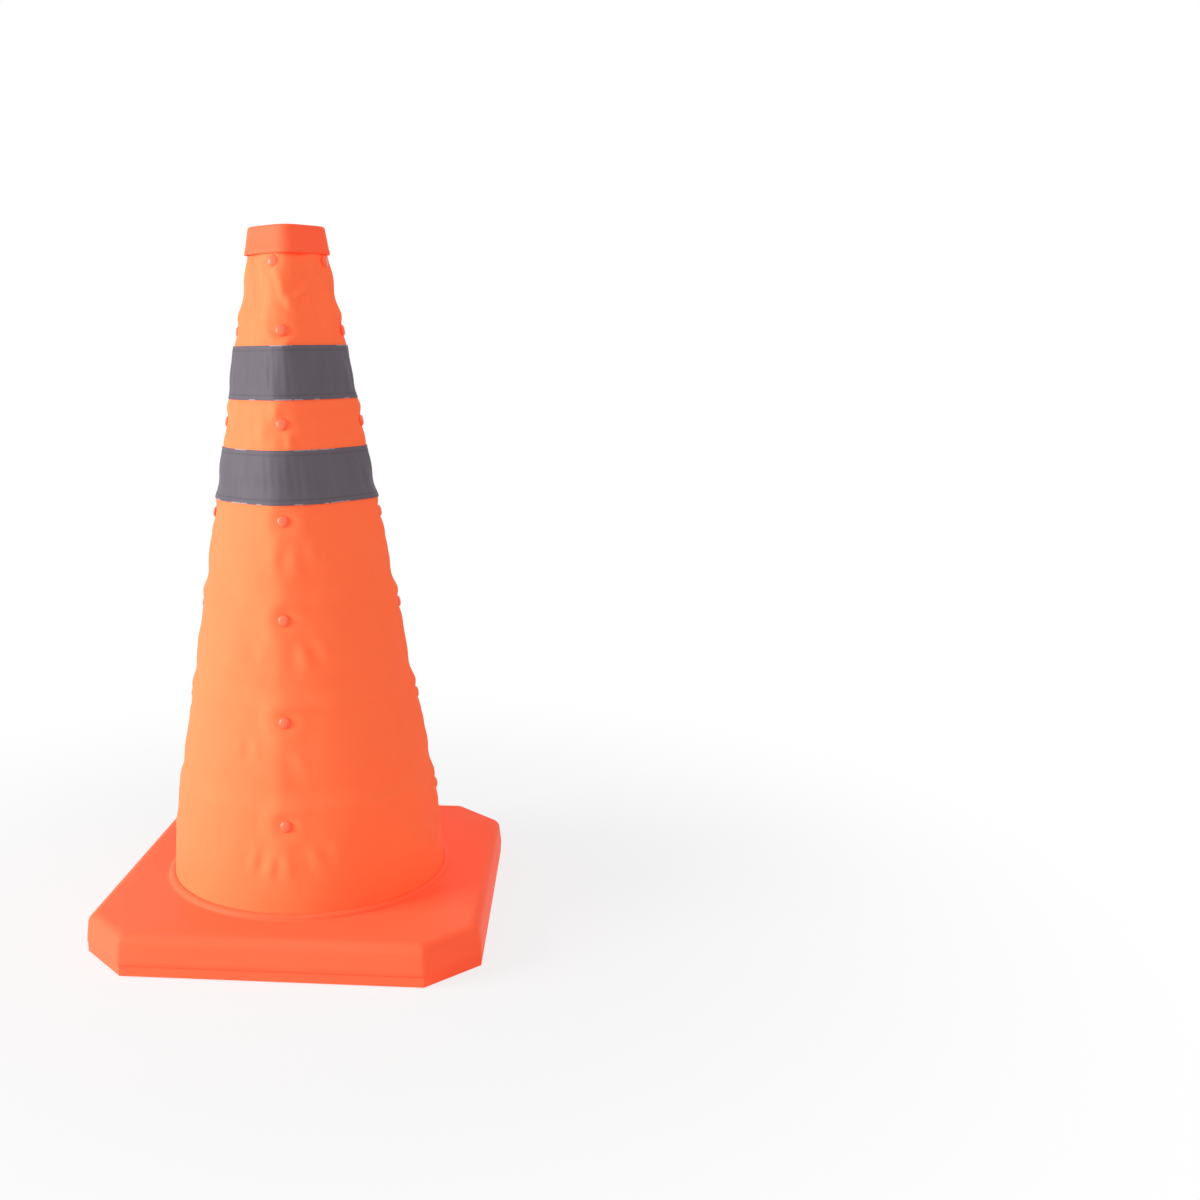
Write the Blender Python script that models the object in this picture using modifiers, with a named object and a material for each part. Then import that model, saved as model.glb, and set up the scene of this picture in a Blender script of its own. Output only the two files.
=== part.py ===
"""Collapsible traffic cone: telescoping sleeves under a riveted cloth skin, on a moulded octagonal base.

The cone stands extended on the plane z = 0 with its axis on +Z. Sleeve 1 is fixed in the base, sleeves 2 to 7
slide down into it like a camping cup, and the cloth skin is riveted to every sleeve in four columns.
"""

import math

import bmesh
import bpy
from mathutils import Matrix, Vector

MM = 0.001

# Driving dimensions of the whole cone
HEIGHT = 450.0 * MM
CLEARANCE = 0.3 * MM
ROUND_STEPS = 32

# Base
BASE_WIDTH = 254.0 * MM
BASE_CHAMFER = 32.0 * MM
BASE_TOP_Z = 27.0 * MM
BASE_WALL = 2.5 * MM
BASE_DRAFT = 1.5 * MM
BASE_TOP_RADIUS = 7.0 * MM
BASE_CORNER_RADIUS = 4.0 * MM
COLLAR_HEIGHT = 4.0 * MM
COLLAR_WALL = 2.6 * MM
BOSS_RADIUS = 4.5 * MM

# Bottom cover, its feet and screws
FOOT_HEIGHT = 1.0 * MM
FOOT_RADIUS = 9.0 * MM
FOOT_RECESS = 0.8 * MM
FOOT_CENTRE = 92.0 * MM
COVER_PLATE = 2.0 * MM
COVER_EDGE = 6.5 * MM
COVER_INSET = 0.5 * MM
WELL_RIB_WALL = 2.0 * MM
SCREW_CENTRE = 109.0 * MM
SCREW_HEAD_RADIUS = 3.6 * MM
SCREW_HEAD_HEIGHT = 1.4 * MM
SCREW_SHANK_RADIUS = 1.5 * MM
SCREW_LENGTH = 15.0 * MM

# Sleeves
SLEEVE_COUNT = 7
SLEEVE_WALL = 1.6 * MM
SLEEVE_OVERLAP = 8.0 * MM
SLEEVE_CLEARANCE = 0.4 * MM
FLANGE_WIDTH = 5.0 * MM
FLANGE_THICKNESS = 2.0 * MM

# Rivet rows, one a sleeve, in four columns
FIRST_ROW_Z = 86.0 * MM
PITCH_STEP = 1.9 * MM
TOP_PITCH = 41.3 * MM
TOP_ROW_GAP = 1.0 * MM
ROW_TO_RIM = 9.5 * MM
COLUMN_COUNT = 4
COLUMN_AZIMUTH = math.radians(-87.0)
TOP_ROW_TURN = math.radians(-11.0)
RIVET_HEAD_RADIUS = 3.7 * MM
RIVET_HEAD_HEIGHT = 1.9 * MM
RIVET_SHANK_RADIUS = 1.8 * MM
RIVET_STEPS = 8

# Cloth skin and the two reflective bands
CLOTH = 0.5 * MM
SKIN_FOOT_RADIUS = 92.6 * MM
SKIN_ROW_RADIUS = 86.9 * MM
PANEL_ABOVE_ROW = 6.0 * MM
HOLLOW_DEPTH = 0.75 * MM
HOLLOW_RISE = 10.0 * MM
BELLY_DEPTH = 0.5 * MM
BELLY_DROP = 30.0 * MM
BAND_CLOTH = 0.4 * MM
BAND_HEIGHT = 33.0 * MM
UPPER_BAND_DROP = 9.0 * MM
LOWER_BAND_RISE = 9.7 * MM

# Top cap
CAP_HEIGHT = 17.0 * MM
CAP_WALL = 1.4 * MM
CAP_FOOT_RADIUS = 26.8 * MM
CAP_TOP_RADIUS = 24.2 * MM
CAP_EDGE_RADIUS = 1.5 * MM
CAP_LIP_HEIGHT = 2.7 * MM
CAP_LIP = 0.4 * MM
CAP_TURN = math.radians(8.0)

# Section shape: a superellipse that goes from round at the base to square at the cap
FOOT_EXPONENT = 2.0
NECK_EXPONENT = 3.4
CAP_EXPONENT = 4.4

# Heights that follow from the sizes above
COVER_BOTTOM_Z = FOOT_HEIGHT
COVER_TOP_Z = COVER_BOTTOM_Z + COVER_EDGE
FLOOR_Z = COVER_BOTTOM_Z + COVER_PLATE
SHELL_BOTTOM_Z = COVER_TOP_Z + CLEARANCE
COLLAR_TOP_Z = BASE_TOP_Z + COLLAR_HEIGHT
FLANGE_TOP_Z = BASE_TOP_Z - BASE_WALL - CLEARANCE
FLANGE_BOTTOM_Z = FLANGE_TOP_Z - FLANGE_THICKNESS
CAP_BOTTOM_Z = HEIGHT - CAP_HEIGHT
CAP_ROOF_Z = HEIGHT - CAP_WALL
TOP_ROW_Z = CAP_BOTTOM_Z - RIVET_HEAD_RADIUS - TOP_ROW_GAP
RISES = SLEEVE_COUNT - 2
FIRST_PITCH = (TOP_ROW_Z - TOP_PITCH - FIRST_ROW_Z + PITCH_STEP * sum(range(RISES))) / RISES


def section_factor(angle, power):
    """Radius of a superellipse of that power at an angle from its corner, as a share of its corner radius."""
    def radius(turn):
        return (abs(math.cos(turn)) ** power + abs(math.sin(turn)) ** power) ** (-1.0 / power)

    return radius(angle - math.pi / 4) / radius(-math.pi / 4)


def cap_fit_radius(cap_radius):
    """Corner radius of the largest neck section that clears the cap's wall, which is squarer and turned, where the
    cap has that outer corner radius. The cosine allows for the sag of the wall's facets."""
    angles = [2 * math.pi * step / ROUND_STEPS for step in range(ROUND_STEPS)]
    share = min(section_factor(a - CAP_TURN, CAP_EXPONENT) / section_factor(a, NECK_EXPONENT) for a in angles)
    return (cap_radius - CAP_WALL) * share * math.cos(math.pi / ROUND_STEPS) - CLEARANCE


SKIN_NECK_RADIUS = cap_fit_radius(CAP_FOOT_RADIUS) + CLOTH + CLEARANCE
SKIN_SLOPE = (SKIN_ROW_RADIUS - SKIN_NECK_RADIUS) / (CAP_BOTTOM_Z - FIRST_ROW_Z)


def row_z(row):
    """Height of a rivet row, counted from 1 at the bottom; the last row sits right under the cap's edge."""
    if row == SLEEVE_COUNT:
        return TOP_ROW_Z
    return FIRST_ROW_Z + sum(FIRST_PITCH - below * PITCH_STEP for below in range(row - 1))


def rim_z(sleeve):
    """Height of a sleeve's top edge; the last sleeve ends under the cap's roof."""
    if sleeve == SLEEVE_COUNT:
        return CAP_ROOF_Z - CLEARANCE
    return row_z(sleeve) + ROW_TO_RIM


def skin_radius(z):
    """Outer corner radius of the cloth: a straight cone, drawn in below the first rivet row."""
    if z >= FIRST_ROW_Z:
        return SKIN_NECK_RADIUS + SKIN_SLOPE * (CAP_BOTTOM_Z - z)
    share = (FIRST_ROW_Z - z) / (FIRST_ROW_Z - COLLAR_TOP_Z)
    return SKIN_ROW_RADIUS + share * (SKIN_FOOT_RADIUS - SKIN_ROW_RADIUS)


def exponent(z):
    """Squareness of the section, rising from the base to the neck with the square of the height."""
    share = min(max((z - BASE_TOP_Z) / (CAP_BOTTOM_Z - BASE_TOP_Z), 0.0), 1.0)
    return FOOT_EXPONENT + (NECK_EXPONENT - FOOT_EXPONENT) * share * share


def sleeve_radius(sleeve, z):
    """Outer corner radius of a sleeve: its foot clears the sleeve below, and its rim carries the cloth. Sleeve 1
    follows the cloth all the way down, and sleeve 7 draws in above the cloth to seat in the cap."""
    if sleeve == 1:
        return skin_radius(z) - CLOTH - CLEARANCE
    foot = sleeve_foot_z(sleeve)
    low = (foot, sleeve_radius(sleeve - 1, foot) - SLEEVE_WALL - SLEEVE_CLEARANCE)
    carry = CAP_BOTTOM_Z if sleeve == SLEEVE_COUNT else rim_z(sleeve)
    high = (carry, skin_radius(carry) - CLOTH - CLEARANCE)
    if z > carry:
        low, high = high, (rim_z(sleeve), cap_fit_radius(CAP_TOP_RADIUS))
    share = (z - low[0]) / (high[0] - low[0])
    return low[1] + share * (high[1] - low[1])


def sleeve_foot_z(sleeve):
    """Height of a sleeve's lower edge: inside the sleeve below it, or under the base's roof for sleeve 1."""
    if sleeve == 1:
        return FLANGE_BOTTOM_Z
    return rim_z(sleeve - 1) - SLEEVE_OVERLAP


def collection(name):
    made = bpy.data.collections.new(name)
    bpy.context.scene.collection.children.link(made)
    return made


def clear_scene():
    for obj in list(bpy.data.objects):
        bpy.data.objects.remove(obj)


def material(name, colour, roughness):
    made = bpy.data.materials.new(name)
    made.use_nodes = True
    shader = made.node_tree.nodes["Principled BSDF"]
    shader.inputs["Base Color"].default_value = (*colour, 1.0)
    shader.inputs["Roughness"].default_value = roughness
    return made


def smooth(mesh):
    mesh.shade_smooth()
    mesh.set_sharp_from_angle(angle=math.radians(35.0))


def add(name, mesh, finish, group):
    obj = bpy.data.objects.new(name, mesh)
    mesh.materials.clear()
    if finish:
        mesh.materials.append(finish)
    group.objects.link(obj)
    return obj


def from_bmesh(name, bm):
    mesh = bpy.data.meshes.new(name)
    bmesh.ops.recalc_face_normals(bm, faces=bm.faces)
    bm.to_mesh(mesh)
    bm.free()
    smooth(mesh)
    return mesh


def ring(bm, z, radius, power, turn):
    """One closed section of the loft, with a point on each corner of the superellipse."""
    points = []
    for step in range(ROUND_STEPS):
        angle = 2 * math.pi * step / ROUND_STEPS
        reach = radius * section_factor(angle, power)
        points.append(bm.verts.new((reach * math.cos(angle + turn), reach * math.sin(angle + turn), z)))
    return points


def bridge(bm, lower, upper):
    for step in range(len(lower)):
        after = (step + 1) % len(lower)
        bm.faces.new((lower[step], lower[after], upper[after], upper[step]))


def loft(name, stations, closed=True, turn=COLUMN_AZIMUTH):
    """Skin through sections (z, corner radius, power). A closed loft joins the last section to the first,
    as a tube's inner wall joins its outer one, and an open one is capped at both ends."""
    bm = bmesh.new()
    rings = [ring(bm, z, radius, power, turn) for z, radius, power in stations]
    for first, second in zip(rings, rings[1:]):
        bridge(bm, first, second)
    if closed:
        bridge(bm, rings[-1], rings[0])
    else:
        bm.faces.new(rings[0])
        bm.faces.new(rings[-1])
    return from_bmesh(name, bm)


def turned(name, profile, steps):
    """Mesh of a profile of (radius, z) points swept round +Z. It runs from the axis, or back to its first point."""
    mesh = bpy.data.meshes.new(name + "_profile")
    points = [(radius, 0.0, z) for radius, z in profile]
    edges = [(i, i + 1) for i in range(len(points) - 1)]
    if profile[0][0] > 0:
        edges.append((len(points) - 1, 0))
    mesh.from_pydata(points, edges, [])
    obj = bpy.data.objects.new(name + "_profile", mesh)
    bpy.context.scene.collection.objects.link(obj)
    screw = obj.modifiers.new("turn", "SCREW")
    screw.steps = steps
    screw.render_steps = steps
    screw.use_merge_vertices = True
    screw.merge_threshold = 0.00001
    bpy.context.view_layer.update()
    made = bpy.data.meshes.new_from_object(obj.evaluated_get(bpy.context.evaluated_depsgraph_get()))
    made.name = name
    bpy.data.objects.remove(obj)
    smooth(made)
    return made


def cylinder(name, radius, bottom, top, centres, steps=ROUND_STEPS):
    """Upright cylinders at the given (x, y) centres, in one mesh."""
    bm = bmesh.new()
    for x, y in centres:
        middle = Matrix.Translation((x, y, (bottom + top) / 2))
        bmesh.ops.create_cone(bm, cap_ends=True, segments=steps, radius1=radius, radius2=radius,
                              depth=top - bottom, matrix=middle)
    return from_bmesh(name, bm)


def boolean(obj, other, operation):
    modifier = obj.modifiers.new(operation.lower() + "_" + other.name, "BOOLEAN")
    modifier.operation = operation
    modifier.object = other


def helper(name, mesh, group):
    obj = add(name, mesh, None, group)
    obj.hide_render = True
    obj.display_type = "WIRE"
    return obj


def octagon(width, chamfer):
    """Corners of a square of that width with its corners cut, anticlockwise from +X."""
    half, inner = width / 2, width / 2 - chamfer
    return [(half, -inner), (half, inner), (inner, half), (-inner, half),
            (-half, inner), (-half, -inner), (-inner, -half), (inner, -half)]


def octagon_block(bm, width, chamfer, bottom, top, draft):
    """An octagonal block whose top is drawn in by the draft on each side. Returns its roof face."""
    low = [bm.verts.new((x, y, bottom)) for x, y in octagon(width, chamfer)]
    high = [bm.verts.new((x, y, top)) for x, y in octagon(width - 2 * draft, chamfer)]
    bridge(bm, low, high)
    bm.faces.new(low[::-1])
    return bm.faces.new(high)


def row_direction(row, column):
    """Azimuth of a rivet, on a corner of the sleeve's section."""
    turn = TOP_ROW_TURN if row == SLEEVE_COUNT else 0.0
    return COLUMN_AZIMUTH + turn + column * 2 * math.pi / COLUMN_COUNT


def rivet_frame(row, column):
    """Place of a rivet: its head's seat on the cloth, with its shank along the cloth's inward normal."""
    azimuth, z = row_direction(row, column), row_z(row)
    reach = skin_radius(z) * section_factor(azimuth - COLUMN_AZIMUTH, exponent(z))
    tilt = math.atan(SKIN_SLOPE)
    normal = Vector((math.cos(azimuth) * math.cos(tilt), math.sin(azimuth) * math.cos(tilt), math.sin(tilt)))
    seat = Vector((reach * math.cos(azimuth), reach * math.sin(azimuth), z))
    return Matrix.Translation(seat + normal * CLEARANCE) @ normal.to_track_quat("Z", "Y").to_matrix().to_4x4()


def rivet_hole_cutter(row, group):
    """Four cylinders through the cloth and the sleeve at the row's rivets."""
    bm = bmesh.new()
    for column in range(COLUMN_COUNT):
        bmesh.ops.create_cone(bm, cap_ends=True, segments=RIVET_STEPS,
                              radius1=RIVET_SHANK_RADIUS + CLEARANCE, radius2=RIVET_SHANK_RADIUS + CLEARANCE,
                              depth=4 * RIVET_HEAD_RADIUS, matrix=rivet_frame(row, column))
    return helper(f"rivet_hole_cutter_{row}", from_bmesh(f"rivet_hole_cutter_{row}", bm), group)


def base_shell(finish, parts, cutters):
    """Moulded upper shell: octagonal, rounded on top, open below, with a raised collar and screw bosses."""
    bm = bmesh.new()
    roof = octagon_block(bm, BASE_WIDTH, BASE_CHAMFER, SHELL_BOTTOM_Z, BASE_TOP_Z, BASE_DRAFT)
    floor = min(bm.faces, key=lambda face: face.calc_center_median().z)
    uprights = [edge for edge in bm.edges if edge not in roof.edges and edge not in floor.edges]
    bmesh.ops.bevel(bm, geom=uprights, offset=BASE_CORNER_RADIUS, segments=2, profile=0.5, affect="EDGES")
    top_edges = [edge for edge in bm.edges if all(v.co.z > BASE_TOP_Z - CLEARANCE for v in edge.verts)]
    bmesh.ops.bevel(bm, geom=top_edges, offset=BASE_TOP_RADIUS, segments=4, profile=0.5, affect="EDGES")
    bmesh.ops.delete(bm, geom=[f for f in bm.faces if f.calc_center_median().z < SHELL_BOTTOM_Z + CLEARANCE],
                     context="FACES")
    shell = add("base_shell", from_bmesh("base_shell", bm), finish, parts)
    wall = shell.modifiers.new("wall", "SOLIDIFY")
    wall.thickness = BASE_WALL
    wall.offset = -1.0
    wall.use_even_offset = True

    opening = collar_inner_radius(BASE_TOP_Z)
    boss_centres = screw_centres()
    bosses = cylinder("bosses", BOSS_RADIUS, FLOOR_Z + CLEARANCE, BASE_TOP_Z - BASE_WALL / 2, boss_centres, 20)
    boolean(shell, helper("boss_form", bosses, cutters), "UNION")
    sweep = [math.pi / 2 * share / 3 for share in range(4)]
    bead = [(opening + COLLAR_WALL * math.sin(a), BASE_TOP_Z + COLLAR_HEIGHT * math.cos(a)) for a in sweep]
    root = BASE_TOP_Z - BASE_WALL / 2
    collar = turned("collar_form", [(opening - COLLAR_WALL, COLLAR_TOP_Z), *bead, (opening + COLLAR_WALL, root),
                                    (opening - COLLAR_WALL, root)], ROUND_STEPS)
    boolean(shell, helper("collar_form", collar, cutters), "UNION")
    ends = (BASE_TOP_Z - 2 * BASE_WALL, COLLAR_TOP_Z + BASE_WALL)
    bore = loft("collar_bore", [(z, collar_inner_radius(z), FOOT_EXPONENT) for z in ends], closed=False)
    boolean(shell, helper("collar_bore", bore, cutters), "DIFFERENCE")
    pilot = cylinder("screw_pilots", SCREW_SHANK_RADIUS + CLEARANCE, 0.0,
                     COVER_BOTTOM_Z + SCREW_LENGTH + 2 * CLEARANCE, boss_centres, 12)
    boolean(shell, helper("screw_pilots", pilot, cutters), "DIFFERENCE")
    return shell


def collar_inner_radius(z):
    """The collar's bore takes sleeve 1 with the cloth's edge tucked in between."""
    return sleeve_radius(1, z) + CLOTH + 3 * CLEARANCE


def screw_centres():
    return [(SCREW_CENTRE, 0.0), (0.0, SCREW_CENTRE), (-SCREW_CENTRE, 0.0), (0.0, -SCREW_CENTRE)]


def foot_centres():
    return [(x, y) for x in (FOOT_CENTRE, -FOOT_CENTRE) for y in (FOOT_CENTRE, -FOOT_CENTRE)]


def bottom_cover(finish, parts, cutters):
    """Tray that closes the base: a plate with an edge, a round rib that clamps sleeve 1, and foot recesses."""
    bm = bmesh.new()
    octagon_block(bm, BASE_WIDTH - 2 * COVER_INSET, BASE_CHAMFER, COVER_BOTTOM_Z, COVER_TOP_Z, 0.0)
    cover = add("bottom_cover", from_bmesh("bottom_cover", bm), finish, parts)
    bm = bmesh.new()
    octagon_block(bm, BASE_WIDTH - 2 * COVER_INSET - 2 * BASE_WALL, BASE_CHAMFER, FLOOR_Z, COVER_TOP_Z + COVER_EDGE, 0.0)
    boolean(cover, helper("tray_form", from_bmesh("tray_form", bm), cutters), "DIFFERENCE")
    rib_outer = sleeve_radius(1, FLANGE_BOTTOM_Z) + FLANGE_WIDTH
    rib_top, rib_foot = FLANGE_BOTTOM_Z - CLEARANCE, FLOOR_Z - COVER_PLATE / 2
    rib = turned("well_rib_form", [(rib_outer, rib_top), (rib_outer, rib_foot),
                                   (rib_outer - WELL_RIB_WALL, rib_foot), (rib_outer - WELL_RIB_WALL, rib_top)],
                 ROUND_STEPS)
    boolean(cover, helper("well_rib_form", rib, cutters), "UNION")
    recess = cylinder("foot_recesses", FOOT_RADIUS + CLEARANCE, 0.0, COVER_BOTTOM_Z + FOOT_RECESS, foot_centres(), 16)
    boolean(cover, helper("foot_recesses", recess, cutters), "DIFFERENCE")
    heads = cylinder("screw_recesses", SCREW_HEAD_RADIUS + CLEARANCE, 0.0, screw_seat_z(), screw_centres(), 16)
    boolean(cover, helper("screw_recesses", heads, cutters), "DIFFERENCE")
    holes = cylinder("screw_holes", SCREW_SHANK_RADIUS + CLEARANCE, 0.0, COVER_TOP_Z, screw_centres(), 12)
    boolean(cover, helper("screw_holes", holes, cutters), "DIFFERENCE")


def screw_seat_z():
    return COVER_BOTTOM_Z + SCREW_HEAD_HEIGHT / 2


def feet_and_screws(rubber, steel, parts):
    """Four rubber pads in their recesses and four screws, up through the cover into the bosses."""
    top = COVER_BOTTOM_Z + FOOT_RECESS - CLEARANCE
    pad = turned("foot", [(0.0, top), (FOOT_RADIUS, top), (FOOT_RADIUS, FOOT_HEIGHT / 3),
                          (FOOT_RADIUS - FOOT_HEIGHT / 3, 0.0), (0.0, 0.0)], 16)
    for number, (x, y) in enumerate(foot_centres(), 1):
        add(f"rubber_foot_{number}", pad, rubber, parts).location = (x, y, 0.0)
    head_top = screw_seat_z() - CLEARANCE
    head_bottom = head_top - SCREW_HEAD_HEIGHT / 2
    screw = turned("screw", [(0.0, COVER_BOTTOM_Z + SCREW_LENGTH), (SCREW_SHANK_RADIUS, COVER_BOTTOM_Z + SCREW_LENGTH),
                             (SCREW_SHANK_RADIUS, head_top), (SCREW_HEAD_RADIUS, head_top),
                             (SCREW_HEAD_RADIUS * 0.8, head_bottom), (0.0, head_bottom)], 12)
    for number, (x, y) in enumerate(screw_centres(), 1):
        add(f"cover_screw_{number}", screw, steel, parts).location = (x, y, 0.0)


def sleeve_stations(sleeve):
    """Outer wall down, then inner wall up. Sleeve 1 also has the flange that the base clamps."""
    heights = [rim_z(sleeve), sleeve_foot_z(sleeve)]
    if sleeve == 1:
        heights.insert(1, FIRST_ROW_Z)
    if sleeve == SLEEVE_COUNT:
        heights.insert(1, CAP_BOTTOM_Z)
    outer = [(z, sleeve_radius(sleeve, z), exponent(z)) for z in heights]
    inner = [(z, radius - SLEEVE_WALL, power) for z, radius, power in reversed(outer)]
    if sleeve > 1:
        return outer + inner
    neck = (FLANGE_TOP_Z, sleeve_radius(1, FLANGE_TOP_Z), FOOT_EXPONENT)
    flange = sleeve_radius(1, FLANGE_BOTTOM_Z) + FLANGE_WIDTH
    clamp = [(z, flange, FOOT_EXPONENT) for z in (FLANGE_TOP_Z, FLANGE_BOTTOM_Z)]
    return outer[:-1] + [neck, *clamp] + inner


def sleeves(finish, parts, hole_cutters):
    for sleeve in range(1, SLEEVE_COUNT + 1):
        obj = add(f"sleeve_{sleeve}", loft(f"sleeve_{sleeve}", sleeve_stations(sleeve)), finish, parts)
        boolean(obj, hole_cutters[sleeve], "DIFFERENCE")


def panel_edge_z(row):
    """Height of a panel's upper edge, just above its rivets; edge 0 is the hem tucked into the collar."""
    if row == 0:
        return BASE_TOP_Z
    return min(row_z(row) + PANEL_ABOVE_ROW, CAP_BOTTOM_Z - CLEARANCE)


def cloth_knots():
    """The cloth's main form, as (height, offset from the plain cone): drawn in above each rim, full below each row."""
    knots = [(BASE_TOP_Z, 0.0), (COLLAR_TOP_Z, 0.0)]
    for row in range(1, SLEEVE_COUNT + 1):
        if row > 1:
            knots.append((rim_z(row - 1) + HOLLOW_RISE, -HOLLOW_DEPTH))
        if row < SLEEVE_COUNT:
            knots.append((row_z(row) - BELLY_DROP, BELLY_DEPTH))
        knots.append((panel_edge_z(row), 0.0))
    return knots


def cloth_radius(z):
    """Outer corner radius of the cloth with its main form."""
    knots = cloth_knots()
    for (low, first), (high, second) in zip(knots, knots[1:]):
        if low <= z <= high:
            return skin_radius(z) + first + (second - first) * (z - low) / (high - low)
    return skin_radius(z)


def tube_stations(bottom, top, outset, thickness):
    """Stations of a cloth tube on the cone: outside down, then inside up, with one at each knot between its ends."""
    between = [z for z, _ in cloth_knots() if bottom + CLEARANCE < z < top - CLEARANCE]
    if bottom < FIRST_ROW_Z < top:
        between.append(FIRST_ROW_Z)
    heights = [top, *sorted(between, reverse=True), bottom]
    outer = [(z, cloth_radius(z) + outset, exponent(z)) for z in heights]
    inner = [(z, radius - thickness, power) for z, radius, power in reversed(outer)]
    return outer + inner


def skin_panels(finish, parts, hole_cutters):
    """The cloth skin, parted just above each rivet row, because each panel folds between two sleeves."""
    for row in range(1, SLEEVE_COUNT + 1):
        bottom = panel_edge_z(row - 1) + (CLEARANCE if row > 1 else 0.0)
        stations = tube_stations(bottom, panel_edge_z(row), 0.0, CLOTH)
        obj = add(f"skin_panel_{row}", loft(f"skin_panel_{row}", stations), finish, parts)
        boolean(obj, hole_cutters[row], "DIFFERENCE")


def reflective_bands(finish, parts):
    upper_top = row_z(SLEEVE_COUNT - 1) - UPPER_BAND_DROP
    lower_top = row_z(SLEEVE_COUNT - 3) + LOWER_BAND_RISE + BAND_HEIGHT
    for name, top in (("upper_reflective_band", upper_top), ("lower_reflective_band", lower_top)):
        stations = tube_stations(top - BAND_HEIGHT, top, CLEARANCE + BAND_CLOTH, BAND_CLOTH)
        add(name, loft(name, stations), finish, parts)


def rivets(finish, parts):
    """Snap rivets with a domed head on the cloth and a shank that ends flush inside the sleeve."""
    reach = SLEEVE_WALL + CLOTH + 2 * CLEARANCE
    arc = [math.pi / 2 * share / 2 for share in (1, 2)]
    dome = [(RIVET_HEAD_RADIUS * math.sin(a), RIVET_HEAD_HEIGHT * math.cos(a)) for a in arc]
    profile = [(0.0, RIVET_HEAD_HEIGHT), *dome, (RIVET_SHANK_RADIUS, 0.0), (RIVET_SHANK_RADIUS, -reach), (0.0, -reach)]
    mesh = turned("rivet", profile, RIVET_STEPS)
    for row in range(1, SLEEVE_COUNT + 1):
        for column in range(COLUMN_COUNT):
            obj = add(f"rivet_{row}_{column + 1}", mesh, finish, parts)
            obj.matrix_world = rivet_frame(row, column)


def top_cap(finish, parts):
    """Square cap with rounded corners that snaps over sleeve 7 and hides the cloth's upper edge."""
    stations = [(CAP_ROOF_Z, CAP_TOP_RADIUS - CAP_WALL, CAP_EXPONENT),
                (CAP_BOTTOM_Z, CAP_FOOT_RADIUS - CAP_WALL, CAP_EXPONENT),
                (CAP_BOTTOM_Z, CAP_FOOT_RADIUS, CAP_EXPONENT),
                (CAP_BOTTOM_Z + CAP_LIP_HEIGHT, CAP_FOOT_RADIUS, CAP_EXPONENT),
                (CAP_BOTTOM_Z + CAP_LIP_HEIGHT, CAP_FOOT_RADIUS - CAP_LIP, CAP_EXPONENT),
                (HEIGHT - CAP_EDGE_RADIUS, CAP_TOP_RADIUS, CAP_EXPONENT),
                (HEIGHT, CAP_TOP_RADIUS - CAP_EDGE_RADIUS, CAP_EXPONENT)]
    add("top_cap", loft("top_cap", stations, closed=False, turn=COLUMN_AZIMUTH + CAP_TURN), finish, parts)


def main():
    clear_scene()
    parts, cutters = collection("traffic_cone"), collection("cutters")
    base_plastic = material("base_plastic", (0.95, 0.10, 0.045), 0.5)
    sleeve_plastic = material("sleeve_plastic", (0.9, 0.16, 0.05), 0.5)
    cloth = material("orange_cloth", (0.95, 0.18, 0.04), 0.8)
    tape = material("reflective_tape", (0.18, 0.16, 0.18), 0.6)
    rubber = material("rubber", (0.03, 0.03, 0.03), 0.9)
    steel = material("screw_steel", (0.55, 0.55, 0.55), 0.35)
    steel.node_tree.nodes["Principled BSDF"].inputs["Metallic"].default_value = 1.0
    hole_cutters = {row: rivet_hole_cutter(row, cutters) for row in range(1, SLEEVE_COUNT + 1)}
    base_shell(base_plastic, parts, cutters)
    bottom_cover(base_plastic, parts, cutters)
    feet_and_screws(rubber, steel, parts)
    sleeves(sleeve_plastic, parts, hole_cutters)
    skin_panels(cloth, parts, hole_cutters)
    reflective_bands(tape, parts)
    rivets(base_plastic, parts)
    top_cap(base_plastic, parts)


main()
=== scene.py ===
"""Looks of the collapsible traffic cone: its cloth, bands, mouldings, rivets, finishes and studio."""

import math

import bmesh
import bpy
import numpy as np
from bpy.props import FloatProperty, FloatVectorProperty, IntProperty, PointerProperty
from bpy.types import Operator, Panel, PropertyGroup
from mathutils import Matrix, Vector


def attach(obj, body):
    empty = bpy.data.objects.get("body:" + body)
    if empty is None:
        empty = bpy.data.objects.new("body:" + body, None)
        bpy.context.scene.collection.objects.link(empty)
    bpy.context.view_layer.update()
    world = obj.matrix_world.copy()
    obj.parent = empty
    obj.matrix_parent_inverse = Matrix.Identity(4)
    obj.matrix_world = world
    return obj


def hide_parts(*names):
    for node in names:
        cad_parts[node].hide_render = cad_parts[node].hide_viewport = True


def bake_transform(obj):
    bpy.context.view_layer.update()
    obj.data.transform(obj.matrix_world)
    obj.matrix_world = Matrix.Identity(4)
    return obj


bl_info = {
    "name": "Collapsible Traffic Cone",
    "version": (1, 0, 0),
    "blender": (4, 5, 0),
    "location": "3D View > Sidebar > Cone",
    "description": "Dresses the cone's mechanical frame with cloth, bands, mouldings and a studio",
    "category": "Object",
}

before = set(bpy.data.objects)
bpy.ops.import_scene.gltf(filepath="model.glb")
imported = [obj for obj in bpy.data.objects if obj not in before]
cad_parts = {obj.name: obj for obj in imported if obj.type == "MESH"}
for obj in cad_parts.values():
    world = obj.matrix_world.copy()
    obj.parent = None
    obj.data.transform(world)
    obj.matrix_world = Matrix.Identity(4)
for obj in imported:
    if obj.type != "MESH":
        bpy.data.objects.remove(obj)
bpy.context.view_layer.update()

MM = 0.001
SLEEVES = 7
COLUMNS = 4
BODY = {1: "base", 7: "top", **{number: f"sleeve_{number}" for number in range(2, 7)}}

# Section of the cloth and the cap: power of the superellipse
ROUND_POWER = 2
SQUARING = 1.4
CAP_POWER = 4.4

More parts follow.
